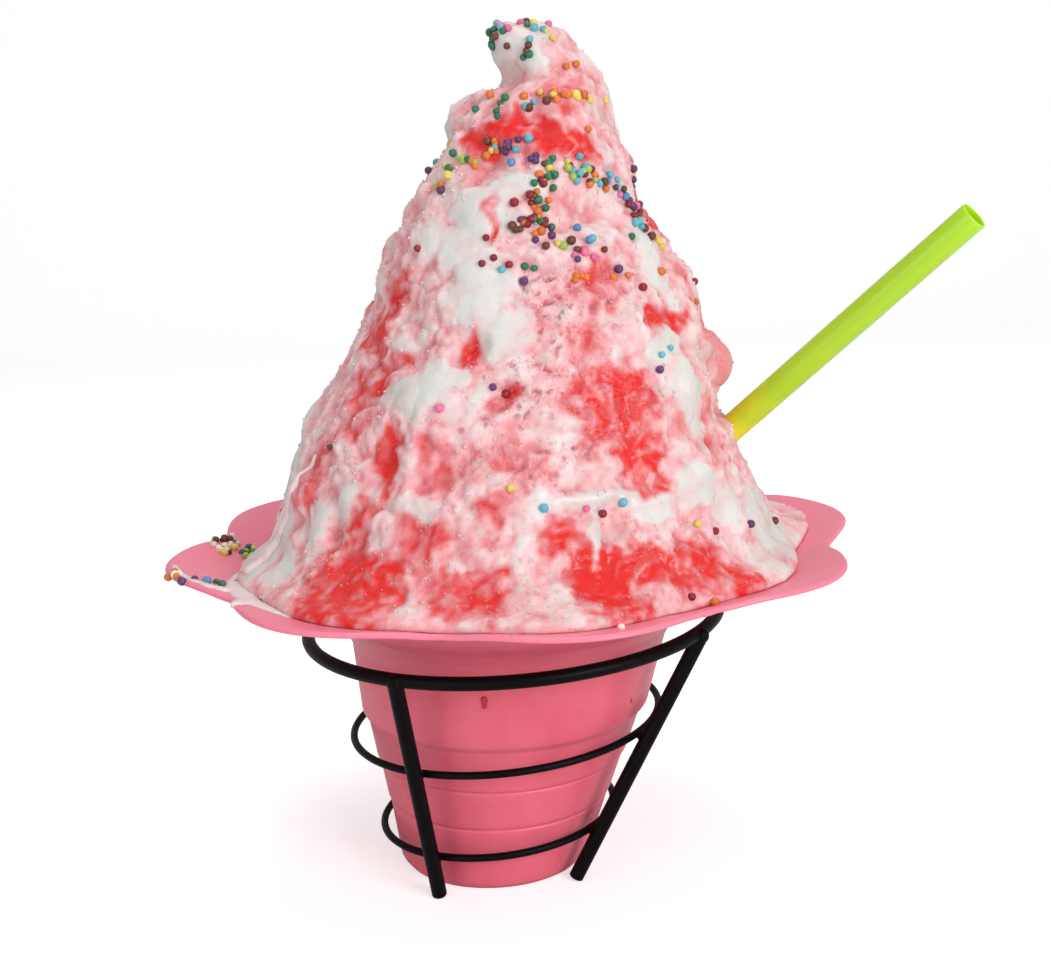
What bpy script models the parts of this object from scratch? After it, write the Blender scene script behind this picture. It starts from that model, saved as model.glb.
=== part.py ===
"""Shaved ice dessert: a tall mound in a pink flower cup, with a drinking straw, in a wire holder.

Metres, +Z up, -Y towards the viewer. The origin is the centre of the cup's base, on the table.
"""

import math

import bmesh
import bpy
from mathutils import Matrix, Vector

MM = 0.001
GAP = 0.3 * MM               # kept between neighbouring pieces
COLUMNS = 48                 # points round every lofted ring, six to a petal

# Flower cup: a soft plastic body in four tiers, which flares into a rim of eight petals.
RIM_HEIGHT = 80 * MM
RIM_SHIFT = 8 * MM           # the cup leans: its rim is centred this far to +X of its base
PETALS = 8
NOTCH_RADIUS = 75 * MM
PETAL_REACH = 0.115          # how far a petal's tip passes the notches, of their radius
PETAL_SHAPE = 1.25           # 1 is a pointed notch, 2 a round one
FIRST_NOTCH = math.radians(-101.3)
CREASE_DEPTH = 1.2 * MM      # the fold that runs inwards from each notch
CUP_WALL = 1.2 * MM
TIERS = (                    # outer radius and height at each end of a tier, bottom to top
    ((23.8, 1.6), (27.2, 16.6)),
    ((27.8, 17.6), (30.2, 27.2)),
    ((31.0, 28.2), (33.6, 38.2)),
    ((35.2, 40.2), (38.4, 58.0)),
)
BASE_EDGE = (22.4, 0.0)
FLARE = ((40.3, 61.5), (43.0, 64.6), (47.5, 67.6), (53.5, 70.8), (60.0, 74.0), (66.5, 76.9),
         (72.0, 79.0), (75.0, 80.0))
ICE_FLARE_RINGS = 6          # rings of the flare that lie under the ice
PETAL_START = 45 * MM        # nearer the axis than this, the flare is round

# Mound of ice: radius and sideways shift of its middle at heights above the rim.
MOUND = (
    (3.0, 64.0, 0.0), (7.0, 61.0, 0.6), (13.0, 56.6, 1.4), (22.0, 53.0, 0.8), (31.0, 49.2, 1.2),
    (40.0, 46.4, 4.0), (50.0, 42.0, 6.2), (61.0, 37.8, 6.8), (71.0, 33.4, 5.4), (80.0, 27.6, 4.6),
    (90.0, 23.6, 7.6), (98.0, 20.0, 7.2), (103.6, 17.0, 8.8), (105.8, 15.4, 9.8),
    (107.6, 12.2, 12.0), (111.5, 10.8, 10.4), (115.6, 10.2, 8.4), (119.0, 8.2, 7.8),
    (121.3, 3.6, 6.6),
)
LONG_STEP = 7.0              # a longer climb between two of these levels takes a ring halfway
ICE_EDGE = 0.30              # how far past its last full ring the ice runs out over the petals
BULGES = (                   # angle, height above the rim, spread and reach of each lump of ice
    (-2, 43, 11, 5.5), (-62, 58, 15, 2.6), (-118, 40, 16, 2.4), (-90, 20, 18, 1.8),
    (-40, 26, 15, 2.2), (-150, 18, 13, 2.4), (-95, 84, 11, 2.0), (60, 66, 16, 2.8),
    (118, 46, 18, 2.6), (92, 90, 12, 2.2), (150, 22, 15, 2.4), (30, 18, 15, 2.4),
    (-72, 100, 7, 1.6), (-128, 68, 11, -1.8), (-20, 74, 10, -1.6), (85, 30, 14, -2.2),
)

# Drinking straw, pushed into the mound from the right and leaning towards the viewer.
STRAW_RADIUS = 3.25 * MM
STRAW_WALL = 0.4 * MM
STRAW_ENTRY = Vector((60, -6, 106.5)) * MM
STRAW_LEAN = Vector((36, -22, 37)).normalized()
STRAW_INSIDE = 78 * MM
STRAW_OUTSIDE = 74 * MM
STRAW_SIDES = 20

# Wire holder: three hand-bent rings and four straight legs.
LEG_WIRE = 1.8 * MM          # radius of the legs
THICK_WIRE = 1.6 * MM        # radius of the ring under the petals
THIN_WIRE = 0.9 * MM
RINGS = (                    # name, radius, middle's X, height, tilt in degrees, wire
    ("holder_top_ring", 50.0, 6.9, 61.4, -2.5, THICK_WIRE),
    ("holder_middle_ring", 37.8, 4.1, 35.5, -4.0, THIN_WIRE),
    ("holder_lower_ring", 28.8, 1.3, 11.1, -4.0, THIN_WIRE),
)
LEGS = ((-121, -118.5), (-33, -41), (59, 61), (147, 143))    # angle at the top ring, at the lower
LEG_CLEARANCE = 0.55 * MM    # between a leg and the lower ring
RING_SEGMENTS = 40

CUP_PINK = (0.93, 0.20, 0.33)
ICE_PINK = (0.95, 0.45, 0.48)
STRAW_GREEN = (0.42, 0.78, 0.06)
WIRE_BLACK = (0.012, 0.012, 0.014)


def clear_scene():
    for thing in list(bpy.data.objects):
        bpy.data.objects.remove(thing, do_unlink=True)


def new_collection(name):
    collection = bpy.data.collections.new(name)
    bpy.context.scene.collection.children.link(collection)
    return collection


def new_material(name, color, roughness, metallic=0.0):
    material = bpy.data.materials.new(name)
    material.use_nodes = True
    shader = material.node_tree.nodes["Principled BSDF"]
    shader.inputs["Base Color"].default_value = (*color, 1.0)
    shader.inputs["Roughness"].default_value = roughness
    shader.inputs["Metallic"].default_value = metallic
    return material


def move_to(thing, collection):
    for owner in list(thing.users_collection):
        owner.objects.unlink(thing)
    collection.objects.link(thing)


def finish(thing, name, collection, material):
    """Name an object, file it, colour it and shade its round faces smooth."""
    thing.name = name
    move_to(thing, collection)
    thing.data.materials.clear()
    thing.data.materials.append(material)
    thing.data.shade_smooth()
    thing.data.set_sharp_from_angle(angle=math.radians(35))
    return thing


def loft(name, rings, collection, material):
    """One closed skin over a stack of rings, bottom to top, with a face across each end."""
    builder = bmesh.new()
    rows = [[builder.verts.new(point) for point in ring] for ring in rings]
    for low, high in zip(rows, rows[1:]):
        for i in range(len(low)):
            j = (i + 1) % len(low)
            builder.faces.new((low[i], low[j], high[j], high[i]))
    builder.faces.new(tuple(reversed(rows[0])))
    builder.faces.new(tuple(rows[-1]))
    mesh = bpy.data.meshes.new(name)
    builder.to_mesh(mesh)
    builder.free()
    return finish(bpy.data.objects.new(name, mesh), name, collection, material)


def column_angles():
    """The columns start at a notch, so that every notch and every petal tip has one."""
    return [FIRST_NOTCH + 2 * math.pi * i / COLUMNS for i in range(COLUMNS)]


def cup_profile():
    """Outer radius and height of the cup, from its base out to the rim."""
    points = [BASE_EDGE]
    for start, end in TIERS:
        points += [start, end]
    return [Vector((radius, height)) * MM for radius, height in points + list(FLARE)]


def offset_profile(profile, distance):
    """The profile moved inwards by a distance, square to itself."""
    moved = []
    for i, point in enumerate(profile):
        along = profile[min(i + 1, len(profile) - 1)] - profile[max(i - 1, 0)]
        inwards = Vector((-along.y, along.x)).normalized()
        moved.append(point + inwards * distance)
    return moved


def petal_swell(angle, radius):
    """How far a point of the flare swells outwards, from none inside to all of it at the rim."""
    outwards = max(0.0, (radius - PETAL_START) / (NOTCH_RADIUS - PETAL_START))
    lobe = abs(math.sin(PETALS / 2 * (angle - FIRST_NOTCH))) ** PETAL_SHAPE
    return PETAL_REACH * lobe * outwards ** 2


def crease(angle, radius):
    """How deep the flare sinks at a notch."""
    outwards = max(0.0, (radius - PETAL_START) / (NOTCH_RADIUS - PETAL_START))
    nearness = abs(math.cos(PETALS / 2 * (angle - FIRST_NOTCH))) ** 12
    return CREASE_DEPTH * nearness * outwards


def cup_ring(radius, height):
    ring = []
    middle = RIM_SHIFT * height / RIM_HEIGHT
    for angle in column_angles():
        reach = radius * (1 + petal_swell(angle, radius))
        sunk = height - crease(angle, radius)
        ring.append(Vector((middle + reach * math.cos(angle), reach * math.sin(angle), sunk)))
    return ring


def cup_inside(distance):
    """Rings of a skin that lies a distance inside the cup's outer surface, floor to rim."""
    profile = offset_profile(cup_profile(), distance)
    profile[0] = Vector((profile[0].x, distance))
    profile[1] = Vector((profile[1].x, max(profile[1].y, distance + 0.5 * MM)))
    return [cup_ring(*point) for point in profile]


def make_cup(collection):
    outside = [cup_ring(*point) for point in cup_profile()]
    inside = cup_inside(CUP_WALL)
    pink = new_material("cup_plastic", CUP_PINK, 0.35)
    return loft("flower_cup", outside + inside[::-1], collection, pink)


def smooth_step(value):
    value = min(1.0, max(0.0, value))
    return value * value * (3 - 2 * value)


def mound_levels():
    """The mound's levels, with one more halfway up each long climb."""
    levels = [MOUND[0]]
    for low, high in zip(MOUND, MOUND[1:]):
        if high[0] - low[0] > LONG_STEP:
            levels.append(tuple((a + b) / 2 for a, b in zip(low, high)))
        levels.append(high)
    return levels


def lumps(angle, height, radius):
    """Unevenness of the ice: rolling waves, and the bulges that stand out of it."""
    wave = 0.55 * math.sin(3 * angle + height / 9) + 0.45 * math.sin(5 * angle - height / 5 + 1)
    wave += 0.35 * math.sin(9 * angle + height / 3.4 + 2)
    reach = wave * min(1.0, radius / 22)
    for turn, level, spread, out in BULGES:
        sideways = math.sin((angle - math.radians(turn)) / 2) * 2 * radius
        distance = math.hypot(sideways, height - level) / spread
        reach += out * (1 - smooth_step(distance))
    return reach


def mound_ring(height, radius, middle):
    ring = []
    for angle in column_angles():
        reach = max(radius * 0.6, radius + lumps(angle, height, radius)) * MM
        x = RIM_SHIFT + middle * MM + reach * math.cos(angle)
        ring.append(Vector((x, reach * math.sin(angle), RIM_HEIGHT + height * MM)))
    return ring


def edge_ring(inner, outer):
    """The uneven line where the ice ends on the petals, between two rings of the flare."""
    ring = []
    for i, angle in enumerate(column_angles()):
        along = ICE_EDGE + 0.16 * math.sin(3 * angle + 0.6) + 0.10 * math.sin(7 * angle)
        ring.append(inner[i].lerp(outer[i], along))
    return ring


def make_ice(collection, cutter):
    """The ice fills the cup, lies on the petals and rises to a hooked peak."""
    bed = cup_inside(CUP_WALL + 1.3 * GAP)
    full = len(bed) - len(FLARE) + ICE_FLARE_RINGS
    edge = edge_ring(bed[full - 1], bed[full])
    lip = [point + Vector((0, 0, 1.8 * MM)) for point in edge]
    rings = bed[:full] + [edge, lip] + [mound_ring(*level) for level in mound_levels()]
    pink = new_material("ice", ICE_PINK, 0.55)
    ice = loft("shaved_ice", rings, collection, pink)
    cut = ice.modifiers.new("straw_hole", "BOOLEAN")
    cut.operation = "DIFFERENCE"
    cut.solver = "EXACT"
    cut.object = cutter
    return ice


def straw_matrix():
    """Placed at the middle of the straw, with its length along local Z."""
    middle = STRAW_ENTRY + STRAW_LEAN * (STRAW_OUTSIDE - STRAW_INSIDE) / 2
    return Matrix.Translation(middle) @ STRAW_LEAN.to_track_quat("Z", "Y").to_matrix().to_4x4()


def add_tube(radius, length, fill):
    bpy.ops.mesh.primitive_cylinder_add(
        vertices=STRAW_SIDES, radius=radius, depth=length, end_fill_type=fill)
    return bpy.context.object


def make_straw(collection):
    length = STRAW_INSIDE + STRAW_OUTSIDE
    straw = add_tube(STRAW_RADIUS, length, "NOTHING")
    straw.matrix_world = straw_matrix()
    wall = straw.modifiers.new("wall", "SOLIDIFY")
    wall.thickness = STRAW_WALL
    wall.offset = -1
    return finish(straw, "straw", collection, new_material("straw_plastic", STRAW_GREEN, 0.3))


def make_straw_cutter(collection):
    length = STRAW_INSIDE + STRAW_OUTSIDE + 2 * GAP
    cutter = add_tube(STRAW_RADIUS + GAP, length, "NGON")
    cutter.matrix_world = straw_matrix()
    cutter.name = "straw_cutter"
    cutter.hide_render = True
    cutter.display_type = "WIRE"
    move_to(cutter, collection)
    return cutter


def ring_point(ring, angle):
    """A point on a tilted ring's middle line, in metres."""
    _, radius, middle, height, tilt, _ = ring
    level = Vector((radius * math.cos(angle), radius * math.sin(angle), 0)) * MM
    turned = Matrix.Rotation(math.radians(tilt), 3, "Y") @ level
    return turned + Vector((middle, 0, height)) * MM


def make_ring(ring, collection, material):
    name, radius, middle, height, tilt, wire = ring
    bpy.ops.mesh.primitive_torus_add(
        major_radius=radius * MM, minor_radius=wire,
        major_segments=RING_SEGMENTS, minor_segments=8 if wire > THIN_WIRE else 6)
    torus = bpy.context.object
    torus.location = Vector((middle, 0, height)) * MM
    torus.rotation_euler = (0, math.radians(tilt), 0)
    return finish(torus, name, collection, material)


def outside_ring(ring, angle):
    """Where a leg's middle line passes a thin ring, just clear of it."""
    outwards = Vector((math.cos(angle), math.sin(angle), 0))
    return ring_point(ring, angle) + outwards * (ring[5] + LEG_WIRE + LEG_CLEARANCE)


def make_leg(name, top_angle, low_angle, collection, material):
    """A leg hangs from the thick ring, passes outside the thin ones and stands on the table."""
    top = ring_point(RINGS[0], top_angle) - Vector((0, 0, THICK_WIRE + 2 * GAP))
    low = outside_ring(RINGS[-1], low_angle)
    slope = low - top
    heel = LEG_WIRE * slope.xy.length / slope.length
    foot = low + slope * ((low.z - heel) / -slope.z)
    curve = bpy.data.curves.new(name, "CURVE")
    curve.dimensions = "3D"
    curve.bevel_depth = LEG_WIRE
    curve.bevel_resolution = 2
    curve.use_fill_caps = True
    line = curve.splines.new("POLY")
    line.points.add(1)
    line.points[0].co = (*top, 1)
    line.points[1].co = (*foot, 1)
    leg = bpy.data.objects.new(name, curve)
    collection.objects.link(leg)
    curve.materials.append(material)
    return leg


def make_holder(collection):
    black = new_material("black_wire", WIRE_BLACK, 0.4, 0.2)
    for ring in RINGS:
        make_ring(ring, collection, black)
    for number, (top_angle, low_angle) in enumerate(LEGS, start=1):
        make_leg(f"holder_leg_{number}", math.radians(top_angle), math.radians(low_angle),
                 collection, black)


def main():
    clear_scene()
    dessert = new_collection("shaved_ice_dessert")
    cutters = new_collection("cutters")
    make_cup(dessert)
    make_ice(dessert, make_straw_cutter(cutters))
    make_straw(dessert)
    make_holder(dessert)


main()
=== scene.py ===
"""Looks of the shaved ice dessert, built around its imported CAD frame. Metres, +Z up, -Y to the viewer."""

import math
import random

import bmesh
import bpy
import numpy as np
from mathutils import Matrix, Vector, noise
from mathutils.bvhtree import BVHTree


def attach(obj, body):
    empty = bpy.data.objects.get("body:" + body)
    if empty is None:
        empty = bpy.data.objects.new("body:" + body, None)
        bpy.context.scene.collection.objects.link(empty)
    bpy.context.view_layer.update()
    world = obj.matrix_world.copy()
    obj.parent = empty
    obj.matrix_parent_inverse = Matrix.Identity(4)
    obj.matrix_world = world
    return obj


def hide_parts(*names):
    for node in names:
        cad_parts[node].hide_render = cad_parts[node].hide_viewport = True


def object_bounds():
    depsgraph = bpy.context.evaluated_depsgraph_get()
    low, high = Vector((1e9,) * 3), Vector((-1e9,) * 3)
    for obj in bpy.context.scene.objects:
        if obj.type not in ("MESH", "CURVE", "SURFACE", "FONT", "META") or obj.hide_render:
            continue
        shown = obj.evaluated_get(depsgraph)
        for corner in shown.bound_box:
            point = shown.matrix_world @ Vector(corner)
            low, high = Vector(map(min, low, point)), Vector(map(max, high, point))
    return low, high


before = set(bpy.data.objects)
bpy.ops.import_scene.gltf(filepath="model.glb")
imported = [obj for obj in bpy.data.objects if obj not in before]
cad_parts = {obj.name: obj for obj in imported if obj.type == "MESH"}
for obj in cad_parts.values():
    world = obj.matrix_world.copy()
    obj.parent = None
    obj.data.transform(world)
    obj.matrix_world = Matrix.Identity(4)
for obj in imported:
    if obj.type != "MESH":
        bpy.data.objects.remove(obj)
CAD_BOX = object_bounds()

MM = 0.001
RIM = Vector((8, 0, 80)) * MM          # middle of the cup's rim

STRAW_RADIUS = 3.25 * MM
STRAW_WALL = 0.4 * MM
STRAW_ENTRY = Vector((60, -6, 106.5)) * MM
STRAW_LEAN = Vector((36, -22, 37)).normalized()
STRAW_INSIDE = 78 * MM
STRAW_OUTSIDE = 74 * MM

# ---------------------------------------------------------------- colours

def linear(red, green, blue):
    """A screen colour, 0 to 255, as the linear values that shaders take."""
    return tuple(((value / 255 + 0.055) / 1.055) ** 2.4 for value in (red, green, blue))


ICE_RAMP = (                            # how the ice looks from no syrup to soaked in it
    (0.00, linear(240, 224, 222)), (0.20, linear(238, 203, 204)), (0.40, linear(236, 172, 175)),
    (0.60, linear(227, 134, 137)), (0.82, linear(220, 84, 84)), (1.00, linear(228, 24, 8)),
)
CREAM_WHITE = linear(229, 226, 223)
CREAM_SHADE = linear(209, 211, 204)
# painted shade: the dark mauve laid into the pits and creases of the packed ice
PIT_AND_CREASE_SHADE = linear(190, 92, 112)
MILK_WHITE = linear(240, 226, 224)
SYRUP_RED = linear(176, 20, 34)
CUP_PINK = linear(232, 104, 124)
WIRE_BLACK = linear(5, 4, 5)
STRAW_GREEN = linear(178, 228, 42)
# painted light: the yellow of the straw near the ice
STRAW_PAINTED_LIGHT_YELLOW = linear(246, 252, 44)
SPRINKLE_COLOURS = {
    "red": linear(140, 22, 42), "orange": linear(218, 118, 48), "yellow": linear(230, 206, 98),
    "teal": linear(96, 178, 192), "green": linear(38, 116, 82), "violet": linear(98, 52, 104),
    "brown": linear(104, 56, 34), "pink": linear(224, 112, 156), "white": linear(240, 228, 216),
    "blue": linear(92, 140, 186), "lime": linear(172, 194, 88),
}


# ---------------------------------------------------------------- helpers

def collection_link(thing):
    bpy.context.scene.collection.objects.link(thing)
    return thing


def new_object(name, mesh, material=None, smooth=True):
    thing = collection_link(bpy.data.objects.new(name, mesh))
    if material:
        mesh.materials.append(material)
    if smooth:
        mesh.shade_smooth()
    return thing


def settle(thing, slot, *nodes):
    """The piece rides on the part and stands for its CAD nodes; the slot is not used."""
    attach(thing, "root")
    if nodes:
        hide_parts(*nodes)


def coordinates(mesh):
    values = np.empty(len(mesh.vertices) * 3)
    mesh.vertices.foreach_get("co", values)
    return values.reshape(-1, 3)


def normals(mesh):
    values = np.empty(len(mesh.vertices) * 3)
    mesh.vertex_normals.foreach_get("vector", values)
    return values.reshape(-1, 3)


def set_coordinates(mesh, places):
    mesh.vertices.foreach_set("co", places.ravel())
    mesh.update()


def paint(mesh, name, colours):
    """Store a colour for each vertex."""
    layer = mesh.attributes.new(name, "FLOAT_COLOR", "POINT")
    values = np.ones((len(colours), 4))
    values[:, :3] = colours
    layer.data.foreach_set("color", values.ravel())


def store(mesh, name, numbers):
    layer = mesh.attributes.new(name, "FLOAT", "POINT")
    layer.data.foreach_set("value", np.ascontiguousarray(numbers))


def smooth_step(low, high, values):
    along = np.clip((values - low) / (high - low), 0, 1)
    return along * along * (3 - 2 * along)


def clumps(places, size, shift=0.0):
    """Height of soft rounded clumps of the given size: about 1 on their tops, 0 in the creases."""
    height = np.empty(len(places))
    offset = Vector((shift, shift, shift))
    for i, place in enumerate(places):
        nearest = noise.voronoi(Vector(place) / size + offset)[0][0]
        height[i] = 1 - 1.7 * nearest * nearest
    return np.clip(height, 0, 1)


def pushed(places, size, reach, shift=0.0):
    """The places moved about by slow noise, so that what is drawn on them wanders."""
    moved = np.stack([waves(places, size, shift + 11.3 * axis) for axis in range(3)], axis=1)
    return places + moved * 1.3 * reach


def waves(places, size, shift=0.0, detail=0):
    """Soft noise between about -1 and 1, with the given number of finer octaves."""
    values = np.empty(len(places))
    offset = Vector((shift, shift * 0.7, -shift))
    for i, place in enumerate(places):
        spot = Vector(place) / size + offset
        if detail:
            values[i] = noise.fractal(spot, 1.0, 2.0, detail + 1)
        else:
            values[i] = noise.noise(spot)
    return values


# ---------------------------------------------------------------- materials

def new_material(name):
    material = bpy.data.materials.new(name)
    material.use_nodes = True
    nodes = material.node_tree.nodes
    return material, nodes, material.node_tree.links, nodes["Principled BSDF"]


def add_node(nodes, kind, **inputs):
    node = nodes.new(kind)
    for name, value in inputs.items():
        node.inputs[name.replace("_", " ")].default_value = value
    return node


def object_places(nodes, links, scale=1.0):
    """Object coordinates for a texture, in metres; the scale is not used."""
    source = nodes.new("ShaderNodeTexCoord")
    return source.outputs["Object"]


def bump_from(nodes, links, shader, heights, distance, strength=1.0):
    bump = add_node(nodes, "ShaderNodeBump", Strength=strength, Distance=distance)
    links.new(heights, bump.inputs["Height"])
    links.new(bump.outputs["Normal"], shader.inputs["Normal"])
    return bump


def attribute_value(nodes, name):
    node = nodes.new("ShaderNodeAttribute")
    node.attribute_name = name
    return node.outputs["Fac"]


def maths(nodes, links, operation, first, second):
    """The result of a sum on two values, each a number or another node's output."""
    node = nodes.new("ShaderNodeMath")
    node.operation = operation
    for socket, value in zip(node.inputs, (first, second)):
        if isinstance(value, (int, float)):
            socket.default_value = value
        else:
            links.new(value, socket)
    return node.outputs["Value"]


def mixed(nodes, links, blend, factor, first, second):
    """Two colours blended, the factor and the colours each a value or an output."""
    node = nodes.new("ShaderNodeMix")
    node.data_type = "RGBA"
    node.blend_type = blend
    for name, value in (("Factor", factor), ("A", first), ("B", second)):
        socket = next(item for item in node.inputs
                      if item.name == name and item.type == ("VALUE" if name == "Factor" else "RGBA"))
        if isinstance(value, (int, float, tuple)):
            socket.default_value = value
        else:
            links.new(value, socket)
    return next(item for item in node.outputs if item.type == "RGBA")


def between(nodes, links, value, low, high):
    """0 below low, 1 above high and a straight climb between them."""
    node = nodes.new("ShaderNodeMapRange")
    node.inputs["From Min"].default_value = low
    node.inputs["From Max"].default_value = high
    links.new(value, node.inputs["Value"])
    return node.outputs["Result"]


def snow_material():
    """Packed ice: a vertex colour, with fine pale strands drawn over it and painted shade darkening its pits."""
    material, nodes, links, shader = new_material("packed_snow")
    tint = nodes.new("ShaderNodeAttribute")
    tint.attribute_name = "tint"
    lace = attribute_value(nodes, "lace")
    places = object_places(nodes, links)
    bend = add_node(nodes, "ShaderNodeTexNoise", Scale=520.0, Detail=2.0, Roughness=0.6)
    links.new(places, bend.inputs["Vector"])
    bent = mixed(nodes, links, "ADD", 0.0022, places, bend.outputs["Color"])
    cell = add_node(nodes, "ShaderNodeTexVoronoi", Scale=430.0)
    links.new(bent, cell.inputs["Vector"])
    web = add_node(nodes, "ShaderNodeTexNoise", Scale=430.0, Detail=2.0, Roughness=0.55, Distortion=0.7)
    links.new(places, web.inputs["Vector"])
    away = maths(nodes, links, "ABSOLUTE", maths(nodes, links, "SUBTRACT", web.outputs["Fac"], 0.5), 0.0)
    chance = nodes.new("ShaderNodeSeparateColor")
    links.new(cell.outputs["Color"], chance.inputs["Color"])
    deep = between(nodes, links, chance.outputs["Red"], 0.35, 0.65)
    pits = maths(nodes, links, "MULTIPLY", between(nodes, links, cell.outputs["Distance"], 0.40, 0.22), deep)
    pits = maths(nodes, links, "MULTIPLY", pits, lace)
    strands = maths(nodes, links, "MULTIPLY", between(nodes, links, away, 0.06, 0.0), lace)
    fine = add_node(nodes, "ShaderNodeTexNoise", Scale=1500.0, Detail=3.0, Roughness=0.7)
    links.new(places, fine.inputs["Vector"])
    colour = mixed(nodes, links, "SOFT_LIGHT", 0.28, tint.outputs["Color"], fine.outputs["Fac"])
    # painted shade: the pits, which the bump also sinks, are darkened towards mauve
    colour = mixed(nodes, links, "MULTIPLY", maths(nodes, links, "MULTIPLY", pits, 0.9),
                   colour, (0.68, 0.30, 0.40, 1))
    colour = mixed(nodes, links, "MIX", maths(nodes, links, "MULTIPLY", strands, 0.30),
                   colour, (*linear(248, 222, 222), 1))
    links.new(colour, shader.inputs["Base Color"])
    wet = attribute_value(nodes, "wet")
    links.new(between(nodes, links, wet, -0.2, 1.6), shader.inputs["Coat Weight"])
    shader.inputs["Coat Roughness"].default_value = 0.22
    shader.inputs["Roughness"].default_value = 0.5
    shader.inputs["IOR"].default_value = 1.31
    shader.inputs["Subsurface Weight"].default_value = 0.3
    shader.inputs["Subsurface Radius"].default_value = (1.0, 0.6, 0.55)
    shader.inputs["Subsurface Scale"].default_value = 0.0012
    heights = maths(nodes, links, "MULTIPLY", pits, -1.0)
    heights = maths(nodes, links, "ADD", heights, maths(nodes, links, "MULTIPLY", strands, 0.5))
    heights = maths(nodes, links, "ADD", heights, maths(nodes, links, "MULTIPLY", fine.outputs["Fac"], 0.6))
    bump_from(nodes, links, shader, heights, 0.00022, 0.8)
    return material


def crystal_material():
    """Loose crystals of ice: clearer and glossier than the packed snow."""
    material, nodes, links, shader = new_material("loose_ice")
    tint = nodes.new("ShaderNodeAttribute")
    tint.attribute_name = "tint"
    fine = add_node(nodes, "ShaderNodeTexNoise", Scale=1800.0, Detail=1.0)
    links.new(object_places(nodes, links), fine.inputs["Vector"])
    links.new(tint.outputs["Color"], shader.inputs["Base Color"])
    shader.inputs["Roughness"].default_value = 0.3
    shader.inputs["IOR"].default_value = 1.31
    bump_from(nodes, links, shader, fine.outputs["Fac"], 0.00002, 0.5)
    return material


def milk_material():
    """Condensed milk that has run down over the ice."""
    material, nodes, links, shader = new_material("condensed_milk")
    cloud = add_node(nodes, "ShaderNodeTexNoise", Scale=260.0, Detail=2.0)
    links.new(object_places(nodes, links), cloud.inputs["Vector"])
    colour = mixed(nodes, links, "MIX", cloud.outputs["Fac"], (*linear(236, 206, 208), 1),
                   (*MILK_WHITE, 1))
    links.new(colour, shader.inputs["Base Color"])
    shader.inputs["Roughness"].default_value = 0.28
    shader.inputs["Subsurface Weight"].default_value = 0.35
    shader.inputs["Subsurface Scale"].default_value = 0.0015
    bump_from(nodes, links, shader, cloud.outputs["Fac"], 0.0001, 0.5)
    return material


def syrup_material():
    material, nodes, links, shader = new_material("red_syrup")
    cloud = add_node(nodes, "ShaderNodeTexNoise", Scale=300.0)
    links.new(object_places(nodes, links), cloud.inputs["Vector"])
    colour = mixed(nodes, links, "MIX", cloud.outputs["Fac"], (*SYRUP_RED, 1), (*linear(206, 44, 52), 1))
    links.new(colour, shader.inputs["Base Color"])
    shader.inputs["Roughness"].default_value = 0.12
    shader.inputs["Subsurface Weight"].default_value = 0.3
    shader.inputs["Subsurface Scale"].default_value = 0.0008
    return material


def sprinkle_material():
    material, nodes, links, shader = new_material("nonpareil_sugar")
    tint = nodes.new("ShaderNodeAttribute")
    tint.attribute_name = "tint"
    links.new(tint.outputs["Color"], shader.inputs["Base Color"])
    shader.inputs["Roughness"].default_value = 0.38
    shader.inputs["Subsurface Weight"].default_value = 0.1
    shader.inputs["Subsurface Scale"].default_value = 0.0008
    return material


def cup_material():
    material, nodes, links, shader = new_material("pink_cup_plastic")
    places = object_places(nodes, links)
    cloud = add_node(nodes, "ShaderNodeTexNoise", Scale=45.0, Detail=4.0, Roughness=0.6)
    links.new(places, cloud.inputs["Vector"])
    ramp = nodes.new("ShaderNodeValToRGB")
    ramp.color_ramp.elements[0].position = 0.3
    ramp.color_ramp.elements[0].color = (*linear(222, 92, 112), 1)
    ramp.color_ramp.elements[1].position = 0.75
    ramp.color_ramp.elements[1].color = (*linear(238, 112, 132), 1)
    links.new(cloud.outputs["Fac"], ramp.inputs["Fac"])
    apart = nodes.new("ShaderNodeSeparateXYZ")
    links.new(places, apart.inputs["Vector"])
    # painted light: from 66 mm up the flare and petals are painted paler and lighter, as if lit from above
    colour = mixed(nodes, links, "MIX", between(nodes, links, apart.outputs["Z"], 0.066, 0.082),
                   ramp.outputs["Color"], (*linear(246, 134, 158), 1))
    links.new(colour, shader.inputs["Base Color"])
    shader.inputs["Roughness"].default_value = 0.36
    shader.inputs["Subsurface Weight"].default_value = 0.25
    shader.inputs["Subsurface Radius"].default_value = (1.0, 0.35, 0.4)
    shader.inputs["Subsurface Scale"].default_value = 0.002
    grain = add_node(nodes, "ShaderNodeTexNoise", Scale=900.0, Detail=2.0)
    links.new(places, grain.inputs["Vector"])
    bump_from(nodes, links, shader, grain.outputs["Fac"], 0.00005, 0.6)
    return material


def straw_material():
    """Lime plastic, with painted light: yellow where light comes up through it from the ice."""
    material, nodes, links, shader = new_material("lime_straw_plastic")
    along = attribute_value(nodes, "along")
    streak = add_node(nodes, "ShaderNodeTexNoise", Scale=160.0, Detail=1.0)
    links.new(object_places(nodes, links), streak.inputs["Vector"])
    fade = maths(nodes, links, "ADD", along, maths(nodes, links, "MULTIPLY", streak.outputs["Fac"], 0.1))
    # painted light: the part of the straw near the ice is painted yellow
    colour = mixed(nodes, links, "MIX", between(nodes, links, fade, 0.56, 0.66),
                   (*STRAW_PAINTED_LIGHT_YELLOW, 1), (*STRAW_GREEN, 1))
    links.new(colour, shader.inputs["Base Color"])
    shader.inputs["Roughness"].default_value = 0.24
    shader.inputs["Subsurface Weight"].default_value = 0.45
    shader.inputs["Subsurface Radius"].default_value = (0.8, 1.0, 0.25)
    shader.inputs["Subsurface Scale"].default_value = 0.002
    return material


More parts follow.
